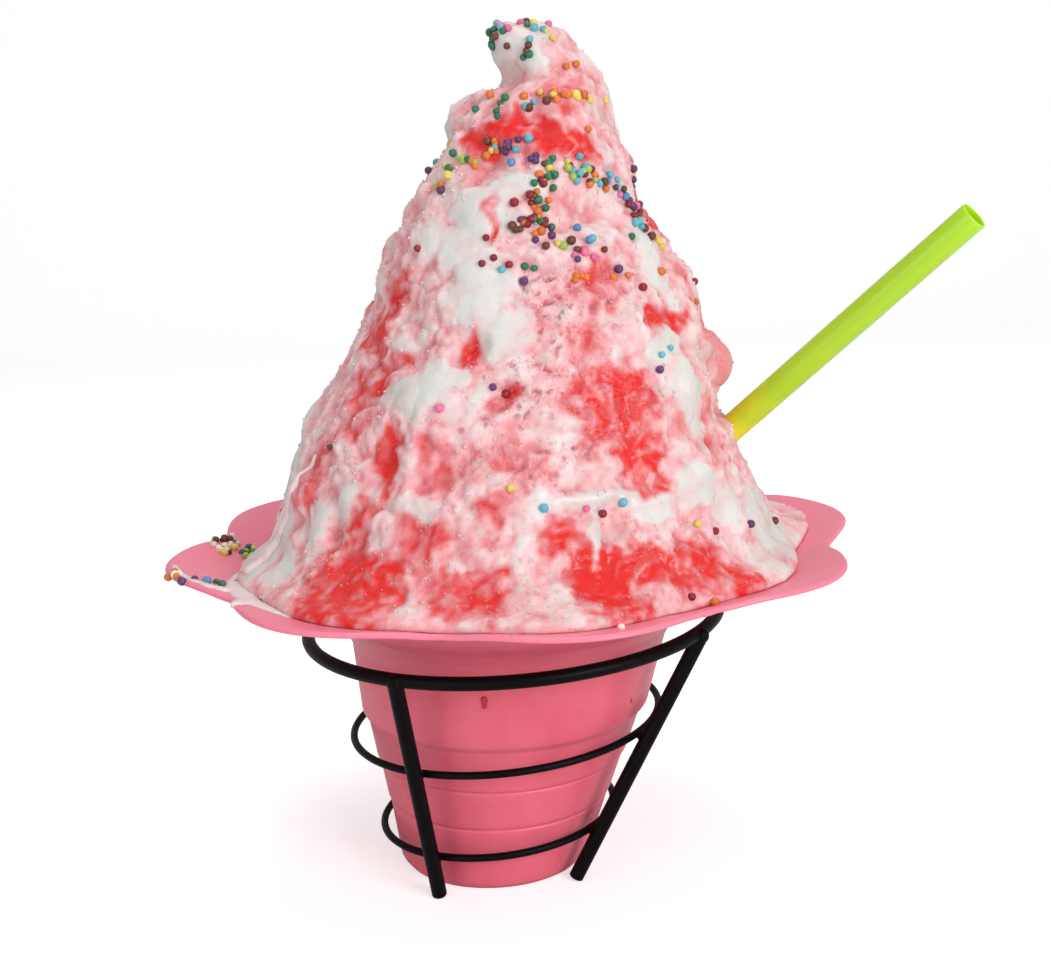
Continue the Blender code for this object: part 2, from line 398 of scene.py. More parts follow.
def wire_material():
    material, nodes, links, shader = new_material("black_coated_wire")
    shader.inputs["Base Color"].default_value = (*WIRE_BLACK, 1)
    shader.inputs["Roughness"].default_value = 0.42
    shader.inputs["Specular IOR Level"].default_value = 0.1
    places = object_places(nodes, links)
    grain = add_node(nodes, "ShaderNodeTexNoise", Scale=1400.0, Detail=2.0)
    links.new(places, grain.inputs["Vector"])
    bump_from(nodes, links, shader, grain.outputs["Fac"], 0.00012, 0.7)
    return material


# ---------------------------------------------------------------- the ice

VOXEL = 0.66 * MM
ICE_FLOOR = 64 * MM                     # the fine ice ends here, inside the cup

# Each patch: angle round the mound (degrees, -90 to the viewer), height above the rim,
# half its width and half its height in millimetres, and how strong it is.
SYRUP = (
    (-122, 94.5, 7, 2.8, 1.0), (-102, 97.5, 7, 4.2, 1.15), (-90, 96, 7, 3.6, 1.15), (-79, 93.5, 7, 3.2, 1.1),
    (-66, 91, 8, 2.8, 1.05), (-114, 96, 6, 2.8, 1.0),
    (-73, 105, 7, 6, 0.42), (-50, 104, 9, 10, 0.14), (-105, 74.5, 1.8, 2.2, 1.2), (-105, 80, 2.2, 4.5, 0.35),
    (-139, 43, 9, 8, 0.72), (-146, 63, 6, 6, 0.55), (-151, 54, 7, 6, 0.75), (-124, 29, 3.2, 8, 0.95),
    (-130, 17.5, 4.5, 4.4, 0.85), (-126, 5.5, 9.5, 7.5, 0.95), (-117, 4, 6, 5.5, 0.90),
    (-99, 5, 9, 4, 0.75), (-95, 19, 3.3, 5, 0.70), (-72, 6.5, 7.5, 7.5, 1.15), (-62, 8, 6, 6, 1.0),
    (-53, 5, 9, 6.5, 0.85), (-44, 1, 6, 3, 0.70), (-65, 39, 11, 8.5, 0.84), (-72, 44, 6, 5, 0.70),
    (-57.5, 28, 6, 8, 1.0), (-54, 21, 2.6, 3.4, 1.1), (-42, 55, 9, 3.2, 1.0), (-109, 52.4, 3.2, 3.2, 1.05),
    (-71, 64, 9, 8, 0.42), (-76, 53, 7, 5, 0.40), (-4, 43, 13, 13, 0.50), (-108, 28, 9, 7, 0.42),
    (-111, 14, 7, 6.5, 0.45), (-81, 13.5, 5.5, 4.5, 0.60), (-96, 42.5, 2.5, 3, 0.60),
    (-88, 28, 6, 6, 0.35), (-30, 30, 8, 9, 0.35), (-20, 62, 7, 8, 0.30), (-148, 24, 6, 8, 0.45),
)
CREAM = (
    (-108, 114, 6.4, 5.6, 1.0), (-80, 118, 8, 3, 0.5), (-165, 114, 8, 7, 0.9), (160, 116, 8, 6, 0.8),
    (-168, 108.5, 7, 3, 0.5), (-100, 84.5, 9, 4.6, 0.95), (-112, 79, 8, 6, 0.95),
    (-112, 73.5, 7.5, 9, 1.0), (-108, 63.5, 8, 7.5, 1.0), (-132, 75, 5, 5, 0.6), (-128, 84, 6, 4, 0.55),
    (-101, 55, 5, 5, 0.8), (-113, 47, 5, 3, 0.8), (-118, 43.5, 7.5, 6, 0.85), (-127, 41, 8, 3, 0.6),
    (-105, 41, 6.5, 4, 0.5), (-95, 56, 3.4, 6, 0.6), (-81, 35, 6, 4, 0.45), (-36, 68, 5, 9, 0.9),
    (-30, 77, 4, 5, 0.6), (-46, 50, 7, 3.2, 0.9), (-41, 41, 4.5, 8.5, 0.85), (-36, 31, 3.5, 6, 0.6),
    (-43, 20, 8, 4.6, 0.95), (-34, 15, 7, 6, 0.85), (-57, 17.5, 6, 2.0, 1.0), (-66, 20.5, 6, 2.2, 1.0), (-73.5, 14, 1.6, 5, 1.0),
    (-75, 21, 6, 2.2, 1.0), (-84, 20, 4, 3, 0.95), (-88, 10, 2.4, 11, 0.42), (-133, 19, 4.4, 6.5, 0.75),
    (-139, 13, 3.5, 4, 0.6), (-156, 12, 5, 13, 0.95), (-147, 4.5, 6, 4.5, 0.85), (-163, 8, 6, 9, 0.9),
    (-22, 8, 8, 10, 0.75), (-32, 1.5, 7, 4, 0.6), (-12, 6, 8, 9, 0.7), (-110, 20, 4, 3, 0.4),
)
SCULPTED = (                            # pushed out, in millimetres, or in where it is negative
    (180, 94.5, 12, 4, -2.1), (-165, 94.5, 6, 4, -1.2), (180, 86, 12, 5, -1.4), (180, 77, 12, 3, -1.3),
    (180, 108.5, 8, 3, -1.8), (-140, 108.5, 6, 2.5, -1.6), (180, 101, 10, 2.5, 1.0), (180, 65, 16, 4.5, 1.5),
    (180, 44, 18, 5, -1.4), (180, 33, 18, 5, 1.2), (180, 119, 7, 2.5, 1.6), (-130, 118, 5, 3, 0.8),
    (0, 106, 12, 6, 1.4), (0, 93, 10, 3, -0.9), (0, 84, 12, 5, -1.3), (0, 68, 12, 3, -1.6),
    (0, 61, 12, 3, -1.0), (-6, 51.5, 14, 3, -2.2), (-6, 32.5, 14, 3.4, -1.8),
    (-46, 22, 8, 2.6, 1.2), (-57, 18.5, 7, 2.0, 1.3), (-66, 21, 7, 2.0, 1.5), (-76, 21, 7, 2.0, 1.5),
    (-85, 19, 4, 2.4, 1.2), (-73, 14, 2.2, 4.5, 1.1), (-66, 12.5, 6, 4, -1.0), (-79, 13, 4, 4, -0.9),
    (-139, 15, 3, 6, 1.3), (-133, 21, 3.6, 2.4, 1.2), (-134, 13, 2.6, 4, -1.2), (-109, 52.5, 3.4, 3, -2.0),
    (-96, 42.5, 2.6, 3, -1.4), (-112, 64, 10, 9, 1.0), (-103, 81, 8, 5, 0.8), (-118, 44, 9, 4, 0.9),
    (-64, 36, 10, 7, -1.2), (-72, 5, 8, 6, -0.8), (-41, 43, 4, 9, 1.2), (-31, 12, 6, 7, 0.8),
    (-124, 28, 3.4, 9, -1.4), (-117, 31, 2.6, 8, 0.9), (-88, 8, 3, 9, 0.9), (-97, 76, 3, 6, -1.0),
)
UNCOVERED = (                           # gaps in the cream, where the ice shows
    (-105, 78.5, 2.2, 5.5, 0.85), (-109, 52.5, 3.4, 3.0, 1.0), (-97, 74, 3, 3, 0.6), (-96, 42.5, 2.6, 3, 1.0),
)
RIGHT_LUMP = ((-4, 43, 13, 11, 1.0),)   # a smooth wet ball of ice beside the straw
LUMP_MIDDLE = Vector((54.2, -3, 121.5)) * MM
LUMP_RADIUS = 6.5 * MM
LACY = (                                # where the packed ice shows strands and pits
    (-84, 60, 10, 12, 1.0), (-88, 45, 10, 8, 0.9), (-78, 34, 10, 8, 0.7), (-84, 25, 8, 6, 0.6),
    (-98, 35, 10, 8, 0.6), (-66, 62, 8, 8, 0.7), (-60, 40, 10, 8, 0.5), (60, 50, 30, 30, 0.6),
    (140, 60, 30, 30, 0.6),
)


def back_patches(seed, number, strength):
    """The same sort of patches over the side that faces away from the viewer."""
    draw = random.Random(seed)
    patches = []
    for _ in range(number):
        height = 108 * draw.random() ** 1.3
        wide = draw.uniform(4, 12)
        patches.append((draw.uniform(2, 188), height, wide, draw.uniform(4, 12),
                        strength * draw.uniform(0.55, 1.0)))
    return tuple(patches)


def mound_middle(height):
    """How far the mound's middle lies to the side of the rim's, at a height above it."""
    return np.interp(height, (0, 31, 50, 61, 80, 90, 98, 107, 116, 122),
                     (0, 1.2, 6.2, 6.8, 4.6, 7.6, 7.2, 12, 8.4, 6.6))


def round_the_mound(places):
    """Angle in degrees, height above the rim and distance from the mound's middle, in millimetres."""
    height = (places[:, 2] - RIM.z) / MM
    x = (places[:, 0] - RIM.x) / MM - mound_middle(height)
    y = (places[:, 1] - RIM.y) / MM
    return np.degrees(np.arctan2(y, x)), height, np.hypot(x, y)


def patch_field(places, patches, ragged):
    """How strongly the patches cover each place; ragged noise tears their borders."""
    angle, height, radius = round_the_mound(places)
    field = np.zeros(len(places))
    for turn, level, wide, tall, strength in patches:
        sideways = np.radians((angle - turn + 180) % 360 - 180) * np.maximum(radius, 9)
        near = np.hypot(sideways / wide, (height - level) / tall) + ragged
        field = np.maximum(field, strength * (1 - smooth_step(0.45, 1.35, near)))
    return field


def sculpted(places):
    """How far the larger lumps and hollows push each place out."""
    angle, height, radius = round_the_mound(places)
    push = np.zeros(len(places))
    for turn, level, wide, tall, depth in SCULPTED:
        sideways = np.radians((angle - turn + 180) % 360 - 180) * np.maximum(radius, 9)
        push += depth * (1 - smooth_step(0.1, 1.4, np.hypot(sideways / wide, (height - level) / tall)))
    return push


def drawn_in(places):
    """On the left the foot of the mound stops short of where it ends elsewhere."""
    angle, height, radius = round_the_mound(places)
    there = smooth_step(38, 8, np.abs((angle - 175 + 180) % 360 - 180))
    step = 4.2 * MM * there * smooth_step(14, 3, height) * smooth_step(40, 60, radius)
    turn = np.radians(angle)
    drop = 0.42 * step * smooth_step(6, 1, height)
    return places - np.stack([step * np.cos(turn), step * np.sin(turn), drop], axis=1)


def closed_on_straw(places):
    """The mouth of the straw's pocket is drawn in to touch the straw."""
    start = np.array(STRAW_ENTRY)
    along = np.array(STRAW_LEAN)
    reach = (places - start) @ along
    across = places - start - reach[:, None] * along
    distance = np.maximum(np.linalg.norm(across, axis=1), 1e-6)
    near = smooth_step(8 * MM, 4.2 * MM, distance) * smooth_step(-14 * MM, -6 * MM, reach)
    step = np.minimum(1.3 * MM * near, np.maximum(distance - STRAW_RADIUS, 0))
    return places - across * (step / distance)[:, None]


def rounded_lump(places):
    """The wet lump beside the straw is drawn onto a ball."""
    away = places - np.array(LUMP_MIDDLE)
    distance = np.maximum(np.linalg.norm(away, axis=1), 1e-6)
    ball = np.array(LUMP_MIDDLE) + away * (LUMP_RADIUS / distance)[:, None]
    share = smooth_step(9.5 * MM, 7.8 * MM, distance) * smooth_step(1 * MM, 3 * MM, distance)
    return places + share[:, None] * (ball - places)


def blend(base, over, amount):
    """Colours with another colour laid over them, as strongly as amount says for each."""
    return base + np.clip(amount, 0, 1)[:, None] * (np.array(over) - base)


def ramp_colours(stain):
    """The ramp's colours for how much syrup is in the ice."""
    stops = [stop for stop, _ in ICE_RAMP]
    return np.stack([np.interp(stain, stops, [colour[i] for _, colour in ICE_RAMP])
                     for i in range(3)], axis=1)


def remeshed(node, voxel):
    """A fine even copy of a CAD node's mesh, with its facets smoothed away."""
    copy = collection_link(bpy.data.objects.new("work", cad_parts[node].data.copy()))
    remesh = copy.modifiers.new("remesh", "REMESH")
    remesh.mode = "VOXEL"
    remesh.voxel_size = voxel
    relax = copy.modifiers.new("relax", "SMOOTH")
    relax.factor = 0.5
    relax.iterations = 11
    evaluated = copy.evaluated_get(bpy.context.evaluated_depsgraph_get())
    mesh = bpy.data.meshes.new_from_object(evaluated)
    bpy.data.objects.remove(copy)
    mesh.materials.clear()
    return mesh


def cut_below(mesh, height):
    """Drop what lies below a height and close the cut."""
    builder = bmesh.new()
    builder.from_mesh(mesh)
    geometry = builder.verts[:] + builder.edges[:] + builder.faces[:]
    cut = bmesh.ops.bisect_plane(builder, geom=geometry, plane_co=(0, 0, height),
                                 plane_no=(0, 0, 1), clear_inner=True)
    rim = [edge for edge in cut["geom_cut"] if isinstance(edge, bmesh.types.BMEdge)]
    bmesh.ops.holes_fill(builder, edges=rim)
    builder.to_mesh(mesh)
    builder.free()


def make_snow():
    mesh = remeshed("shaved_ice", VOXEL)
    cut_below(mesh, ICE_FLOOR)
    places = coordinates(mesh)
    outwards = normals(mesh)
    angle, height, radius = round_the_mound(places)
    showing = smooth_step(-0.45, 0.0, outwards[:, 2]) * smooth_step(-9, -5, height)

    wander = pushed(pushed(places, 10 * MM, 1.8 * MM), 3.2 * MM, 1.1 * MM, 7)
    ragged = 0.30 * waves(places, 6 * MM, 3) + 0.28 * waves(places, 2.2 * MM, 5, 1)
    syrup = patch_field(wander, SYRUP + back_patches(5, 34, 1.0), ragged)
    cream = patch_field(wander, CREAM + back_patches(11, 34, 0.95), ragged * 0.7)
    cream = smooth_step(0.08, 0.85, cream * (1 - patch_field(wander, UNCOVERED, 0.0)))
    lacy = patch_field(wander, LACY, ragged)
    smooth_top = smooth_step(92, 104, height)
    syrup = syrup * (1 - 0.85 * cream)

    lump = patch_field(places, RIGHT_LUMP, 0.0)
    shape = sculpted(pushed(places, 7 * MM, 1.2 * MM, 17))
    drawn_out = wander * (1, 1, 0.62)       # the syrup runs down, so its marks are longer than wide
    large = clumps(wander, 8.5 * MM)
    middle = clumps(wander, 3.9 * MM, 4)
    small = clumps(places, 1.7 * MM, 8)
    fine = waves(places, 1.1 * MM, 9, 1)
    holes = smooth_step(0.26, 0.50, waves(wander, 2.2 * MM, 14)) * (1 - cream) * (0.15 + 0.85 * lacy)
    loose = (1 - 0.80 * cream - 0.35 * smooth_step(0.55, 0.95, syrup)) * (1 - 0.5 * smooth_top)
    loose = loose * (1 - 0.85 * lump)
    flow = waves(places, 13 * MM, 21)

    relief = 1.35 * large * (1 - 0.4 * cream) + loose * (0.90 * middle + 0.24 * small + 0.12 * fine)
    relief += 0.85 * cream + 0.35 * flow - 0.85 * holes + 0.9 * lump
    lift = relief - 1.85
    at_edge = smooth_step(6, 1, height) * smooth_step(52, 58, radius)
    lift = (np.clip(lift, -2.0, 0.6) + shape) * (1 - 0.75 * at_edge)
    lift = np.where(lift > 0, lift * smooth_step(0, 5, (CAD_BOX[1][2] - places[:, 2]) / MM), lift)
    moved = places + outwards * (lift * showing * MM)[:, None]
    moved[:, 2] -= 0.55 * MM * smooth_step(2.5, 0.5, height) * smooth_step(50, 58, radius)
    moved = drawn_in(moved)
    moved = closed_on_straw(rounded_lump(moved))
    set_coordinates(mesh, moved)

    # painted shade: crease is high in the creases between the clumps, and the colour below is darkened there
    crease = ((1 - small) * 0.22 + (1 - middle) * 0.42 + (1 - large) * 0.36) * (1 - 0.8 * lump)
    mottle = waves(drawn_out, 2.8 * MM, 31, 2)
    speckle = waves(places, 1.7 * MM, 33, 1)
    tone = 0.27 + 0.15 * waves(places, 9 * MM, 35, 1) + 0.17 * mottle + 0.07 * speckle
    # painted shade: creases and pushed-in hollows turn redder and darker, pushed-out lumps paler
    tone += 0.44 * (crease - 0.35) - 0.07 * shape + syrup * (0.66 + 0.30 * mottle)
    tone += 0.75 * lump * (0.58 - tone)
    colours = ramp_colours(np.clip(tone, 0, 1))
    white = np.array(CREAM_WHITE) + (np.clip(0.5 + 0.8 * flow, 0, 1)[:, None]
                                     * (np.array(CREAM_SHADE) - np.array(CREAM_WHITE)))
    bare = smooth_step(0.05, 0.45, waves(wander, 5 * MM, 51, 1)) * 0.5 * (1 - smooth_step(0.1, 0.4, syrup))
    # painted shade: the cream is thinned in the creases, so they show darker
    cover = np.clip(cream * (1.0 - 0.35 * crease) + bare, 0, 1)[:, None]
    colours = colours + cover * (white - colours)
    # painted shade: the pits and the creases are darkened towards the mauve shade colour
    colours = blend(colours, PIT_AND_CREASE_SHADE, 0.75 * smooth_step(0.1, 0.8, holes) + 0.20 * crease * crease * (1 - cream))
    paint(mesh, "tint", colours)
    lace = (1 - cream) * (1 - 0.6 * syrup) * (0.16 + 0.84 * lacy) * (1 - 0.7 * smooth_top)
    store(mesh, "lace", lace * (1 - 0.9 * lump))
    store(mesh, "wet", np.clip(0.75 * smooth_step(0.45, 0.9, syrup) + 0.5 * cream + 0.5 * lump, 0, 1))

    snow = new_object("snow", mesh, snow_material())
    settle(snow, "ice", "shaved_ice")
    return snow, colours, np.maximum(cream, 0.8 * syrup)


def make_core():
    """The plain body of ice that the fine snow covers and that fills the cup."""
    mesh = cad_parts["shaved_ice"].data.copy()
    mesh.materials.clear()
    places = coordinates(mesh)
    above = smooth_step(58 * MM, 74 * MM, places[:, 2])
    peak = np.maximum(places[:, 2] - 140 * MM, 0)
    for axis, middle in ((0, RIM.x), (1, RIM.y)):
        places[:, axis] -= above * 0.16 * (places[:, axis] - middle)
    places[:, 2] -= above * 3.5 * MM + peak * 0.4
    set_coordinates(mesh, places)
    paint(mesh, "tint", np.tile(ICE_RAMP[2][1], (len(mesh.vertices), 1)))
    core = new_object("ice_core", mesh, crystal_material())
    settle(core, "ice")


# ---------------------------------------------------------------- the cup

PETALS = 8
NOTCH_RADIUS = 75
PETAL_REACH = 0.115
PETAL_SHAPE = 1.25
FIRST_NOTCH = math.radians(-101.3)
CREASE_DEPTH = 1.2
CUP_WALL = 1.2
CUP_COLUMNS = 8 * 30
CUP_PROFILE = (
    (22.4, 0.0), (23.8, 1.6), (27.2, 16.4), (26.9, 16.8), (27.8, 17.6), (30.2, 26.9), (29.9, 27.4),
    (31.0, 28.2), (33.6, 38.0), (33.7, 38.6), (35.2, 40.2), (38.4, 58.0), (40.3, 61.5), (43.0, 64.6), (47.5, 67.6),
    (53.5, 70.8), (60.0, 74.0), (66.5, 76.9), (72.0, 79.0), (74.2, 79.75),
)
PETAL_START = 45


def rounded(profile, reach, steps=4):
    """The profile with each corner turned into a short curve."""
    points = [Vector(profile[0])]
    for before, corner, after in zip(profile, profile[1:], profile[2:]):
        before, corner, after = Vector(before), Vector(corner), Vector(after)
        back = (before - corner)
        ahead = (after - corner)
        start = corner + back * min(0.45, reach / back.length)
        end = corner + ahead * min(0.45, reach / ahead.length)
        for i in range(steps + 1):
            t = i / steps
            points.append(start * (1 - t) ** 2 + corner * 2 * t * (1 - t) + end * t * t)
    points.append(Vector(profile[-1]))
    return points


def offset_profile(profile, distance):
    moved = []
    for i, point in enumerate(profile):
        along = profile[min(i + 1, len(profile) - 1)] - profile[max(i - 1, 0)]
        moved.append(point + Vector((-along.y, along.x)).normalized() * distance)
    return moved


def cup_point(angle, radius, height):
    """A point of the cup: petals swell the flare, and a crease runs in from each notch."""
    outwards = max(0.0, (radius - PETAL_START) / (NOTCH_RADIUS - PETAL_START))
    turn = PETALS / 2 * (angle - FIRST_NOTCH)
    reach = radius * (1 + PETAL_REACH * abs(math.sin(turn)) ** PETAL_SHAPE * outwards ** 2)
    sunk = height - CREASE_DEPTH * abs(math.cos(turn)) ** 12 * outwards
    middle = RIM.x / MM * height / (RIM.z / MM)
    return Vector((middle + reach * math.cos(angle), reach * math.sin(angle), sunk)) * MM


def loft(name, rings):
    builder = bmesh.new()
    rows = [[builder.verts.new(point) for point in ring] for ring in rings]
    for low, high in zip(rows, rows[1:]):
        for i in range(len(low)):
            j = (i + 1) % len(low)
            builder.faces.new((low[i], low[j], high[j], high[i]))
    builder.faces.new(tuple(reversed(rows[0])))
    builder.faces.new(tuple(rows[-1]))
    mesh = bpy.data.meshes.new(name)
    builder.to_mesh(mesh)
    builder.free()
    return mesh


def make_cup():
    outside = rounded(CUP_PROFILE, 0.5)
    inside = offset_profile(outside, CUP_WALL)
    inside[0] = Vector((inside[0].x, CUP_WALL))
    lip_middle = (outside[-1] + inside[-1]) / 2
    lip = []
    for step in range(1, 6):
        turn = -math.pi / 2 + math.pi * step / 6
        across = (inside[-1] - outside[-1]) / 2
        bulge = Vector((across.y, -across.x)) * math.cos(turn)
        lip.append(lip_middle + across * math.sin(turn) + bulge * 0.9)
    profile = outside + lip + inside[::-1]
    angles = [FIRST_NOTCH + 2 * math.pi * i / CUP_COLUMNS for i in range(CUP_COLUMNS)]
    mesh = loft("cup", [[cup_point(angle, *point) for angle in angles] for point in profile])
    cup = new_object("petal_cup", mesh, cup_material())
    mesh.set_sharp_from_angle(angle=math.radians(50))
    settle(cup, "cup", "flower_cup")
    return cup


# ---------------------------------------------------------------- straw and wires

def make_straw():
    length = STRAW_INSIDE + STRAW_OUTSIDE
    inner = STRAW_RADIUS - STRAW_WALL
    edge = STRAW_WALL / 2
    steps = [edge + (length - 2 * edge) * i / 24 for i in range(25)]
    profile = [(STRAW_RADIUS, along) for along in steps] + [(STRAW_RADIUS - edge, length)]
    profile += [(inner, along) for along in reversed(steps)] + [(STRAW_RADIUS - edge, 0.0)]
    builder = bmesh.new()
    sides = 64
    rows = []
    for radius, along in profile:
        row = [builder.verts.new((radius * math.cos(turn), radius * math.sin(turn), along))
               for turn in (2 * math.pi * i / sides for i in range(sides))]
        rows.append(row)
    for low, high in zip(rows, rows[1:] + rows[:1]):
        for i in range(sides):
            j = (i + 1) % sides
            builder.faces.new((low[i], low[j], high[j], high[i]))
    mesh = bpy.data.meshes.new("straw_tube")
    builder.to_mesh(mesh)
    builder.free()
    store(mesh, "along", coordinates(mesh)[:, 2] / length)
    start = STRAW_ENTRY - STRAW_LEAN * STRAW_INSIDE
    mesh.transform(Matrix.Translation(start) @ STRAW_LEAN.to_track_quat("Z", "Y").to_matrix().to_4x4())
    straw = new_object("lime_straw", mesh, straw_material())
    mesh.set_sharp_from_angle(angle=math.radians(40))
    settle(straw, "straw", "straw")


LEG_WIRE = 1.8 * MM
THICK_WIRE = 1.6 * MM
THIN_WIRE = 0.9 * MM
RINGS = (
    ("holder_top_ring", 50.0, 6.9, 61.4, -2.5, THICK_WIRE),
    ("holder_middle_ring", 37.8, 4.1, 35.5, -4.0, THIN_WIRE),
    ("holder_lower_ring", 28.8, 1.3, 11.1, -4.0, THIN_WIRE),
)
LEGS = ((-121, -118.5), (-33, -41), (59, 61), (147, 143))
LEG_CLEARANCE = 0.55 * MM
GAP = 0.3 * MM


def ring_point(ring, angle):
    _, radius, middle, height, tilt, _ = ring
    level = Vector((radius * math.cos(angle), radius * math.sin(angle), 0)) * MM
    return Matrix.Rotation(math.radians(tilt), 3, "Y") @ level + Vector((middle, 0, height)) * MM


def wire(name, points, radius, cyclic, material):
    """A round wire along points, as a mesh."""
    curve = bpy.data.curves.new(name, "CURVE")
    curve.dimensions = "3D"
    curve.bevel_depth = radius
    curve.bevel_resolution = 5
    curve.use_fill_caps = True
    line = curve.splines.new("POLY")
    line.points.add(len(points) - 1)
    for point, place in zip(line.points, points):
        point.co = (*place, 1)
    line.use_cyclic_u = cyclic
    work = collection_link(bpy.data.objects.new("work", curve))
    evaluated = work.evaluated_get(bpy.context.evaluated_depsgraph_get())
    mesh = bpy.data.meshes.new_from_object(evaluated)
    bpy.data.objects.remove(work)
    mesh.materials.clear()
    builder = bmesh.new()
    builder.from_mesh(mesh)
    bmesh.ops.remove_doubles(builder, verts=builder.verts, dist=0.00001)
    builder.to_mesh(mesh)
    builder.free()
    return new_object(name, mesh, material)


def add_bead(builder, place, size):
    """A small uneven bead of weld where two wires meet."""
    made = bmesh.ops.create_icosphere(builder, subdivisions=3, radius=1.0)
    for vertex in made["verts"]:
        swell = 1 + 0.12 * noise.noise(vertex.co * 2.1 + place * 300)
        vertex.co = place + vertex.co * swell * size


def make_leg(name, top_angle, low_angle, beads, material):
    """A straight leg, welded to the ring it hangs from and to the two that it passes."""
    joint = ring_point(RINGS[0], top_angle)
    start = joint - Vector((0, 0, THICK_WIRE + 2 * GAP))
    outwards = Vector((math.cos(low_angle), math.sin(low_angle), 0))
    low = ring_point(RINGS[2], low_angle) + outwards * (THIN_WIRE + LEG_WIRE + LEG_CLEARANCE)
    slope = low - start
    heel = LEG_WIRE * slope.xy.length / slope.length
    foot = low + slope * ((low.z - heel) / -slope.z)
    top = start - slope.normalized() * (THICK_WIRE + GAP)
    leg = wire(name.replace("holder", "wire"), [top, foot], LEG_WIRE, False, material)
    leg.data.set_sharp_from_angle(angle=math.radians(50))
    settle(leg, "wire", name)
    add_bead(beads, top, LEG_WIRE * 1.08)
    for ring in RINGS[1:]:
        beside = start + slope * ((ring_point(ring, low_angle).z - start.z) / slope.z)
        towards = (Vector((ring[2] * MM, 0, beside.z)) - beside).normalized()
        add_bead(beads, beside + towards * LEG_WIRE, THIN_WIRE * 1.35)


def make_holder():
    black = wire_material()
    for ring in RINGS:
        name = ring[0]
        points = [ring_point(ring, 2 * math.pi * i / 160) for i in range(160)]
        settle(wire(name.replace("holder", "wire"), points, ring[5], True, black), "wire", name)
    beads = bmesh.new()
    for number, (top_angle, low_angle) in enumerate(LEGS, start=1):
        make_leg(f"holder_leg_{number}", math.radians(top_angle), math.radians(low_angle), beads, black)
    mesh = bpy.data.meshes.new("welds")
    beads.to_mesh(mesh)
    beads.free()
    settle(new_object("wire_welds", mesh, black), "wire")


# ---------------------------------------------------------------- sprinkles

SPRINKLES = (                           # angle, height, spread across, spread up, number, colours
    (-104, 118, 5, 3, 9, "green green teal brown violet"), (-155, 117, 3, 2.5, 7, "green green teal"),
    (-92, 120, 5, 1.5, 9, "orange brown pink yellow"),
    (-96, 113, 4, 2, 3, "green brown"), (-58, 117, 3, 2, 3, "yellow teal"), (-55, 111, 3, 2, 2, "orange"),
    (-78, 103, 6, 1.4, 9, "orange brown yellow"), (-60, 102.5, 6, 1.6, 5, "orange yellow pink"),
    (-97, 102.5, 3, 1.5, 3, "teal brown"), (-127, 102, 4, 2, 4, "yellow orange green"),
    (-116, 100, 3, 1.5, 2, "green"), (-133, 89, 4.6, 2.6, 13, "yellow lime green orange"),
    (-116, 93, 5, 2, 8, "violet brown orange yellow"), (-103, 93, 4, 1.6, 7, "blue teal orange violet"),
    (-94, 90, 4, 2, 4, "violet blue"), (-80, 88, 4, 2, 6, "red brown green"),
    (-62, 87, 6, 2.2, 17, "lime yellow teal brown orange"), (-48, 84, 6, 2.4, 13, "teal blue orange brown"),
    (-34, 80, 3.5, 2.4, 5, "violet pink"), (-16, 86, 2, 2, 2, "violet"), (-55, 95, 2, 2, 1, "orange"),
    (-85, 83, 3.4, 3.2, 16, "orange red orange green"), (-84, 76, 4, 2.4, 12, "green red violet orange"),
    (-93, 77, 4, 2.4, 7, "brown violet red"), (-75, 72, 6, 1.6, 6, "yellow brown lime"),
    (-63, 74, 3, 1.6, 3, "teal blue"), (-72, 70, 4, 1.6, 5, "violet pink"), (-103, 68, 4, 1.6, 4, "red teal"),
    (-91, 67, 3, 1.6, 3, "green violet"), (-79, 66, 4, 1.3, 4, "orange"), (-55, 66, 3, 1.5, 3, "orange violet"),
    (-36, 74, 4, 3, 8, "green teal brown"), (-30, 78, 4, 3, 4, "red brown"), (-38, 64, 2, 2, 2, "red orange"),
    (-22, 71, 3, 2, 3, "orange yellow"), (-10, 80, 5, 5, 5, "yellow red green"),
    (40, 88, 18, 8, 24, "red yellow teal green orange"), (75, 104, 10, 6, 16, "green orange violet yellow"),
    (110, 84, 18, 8, 26, "orange red lime blue brown"), (165, 92, 12, 7, 14, "yellow violet teal pink"),
    (20, 66, 16, 8, 8, "red orange teal"), (140, 60, 18, 10, 8, "green yellow violet"),
    (80, 40, 30, 16, 6, "red yellow teal"),
)
LONE_SPRINKLES = (                      # angle, height, colour
    (-84, 20, "teal"), (-65, 19.5, "teal"), (-91, 24, "yellow"), (-70, 17.5, "red"), (-74, 19, "pink"),
    (-46, 12, "yellow"), (-42, 10, "red"), (-30, 9, "violet"), (-11, 5, "brown"), (-56, 0, "red"),
    (-52, -1.5, "orange"), (-96, 42, "red"), (-100, 44, "violet"), (-46, 49, "teal"), (-50, 48, "teal"),
    (-51, 45, "violet"), (-51, 62, "red"), (-137, 72, "red"), (-137, 84, "violet"), (-106, 74, "red"),
    (-144, 30, "brown"), (-112, 40, "pink"), (40, 12, "yellow"), (120, 8, "teal"), (158, 30, "red"),
)
PETAL_SPRINKLES = (                     # angle and distance from the rim's middle, spread, number
    (177, 71, 2.8, 14, "yellow white yellow brown"), (172, 73, 2.6, 12, "yellow white brown"),
    (174, 66, 1.8, 10, "green lime yellow"), (-177, 63, 1.8, 7, "yellow brown orange"),
    (-162, 81, 1.4, 5, "orange white"), (-158, 79, 1.2, 4, "violet brown"), (-158, 75, 1.0, 3, "blue"),
    (-158, 72, 0.8, 2, "green white"), (-160, 68, 0.8, 2, "blue"), (9, 66, 0.2, 1, "brown"),
    (-74, 76.5, 0.2, 1, "white"), (-107, 77.5, 0.2, 1, "green"), (120, 71, 3.0, 4, "red yellow teal"),
)
SPRINKLE_RADIUS = 0.92 * MM


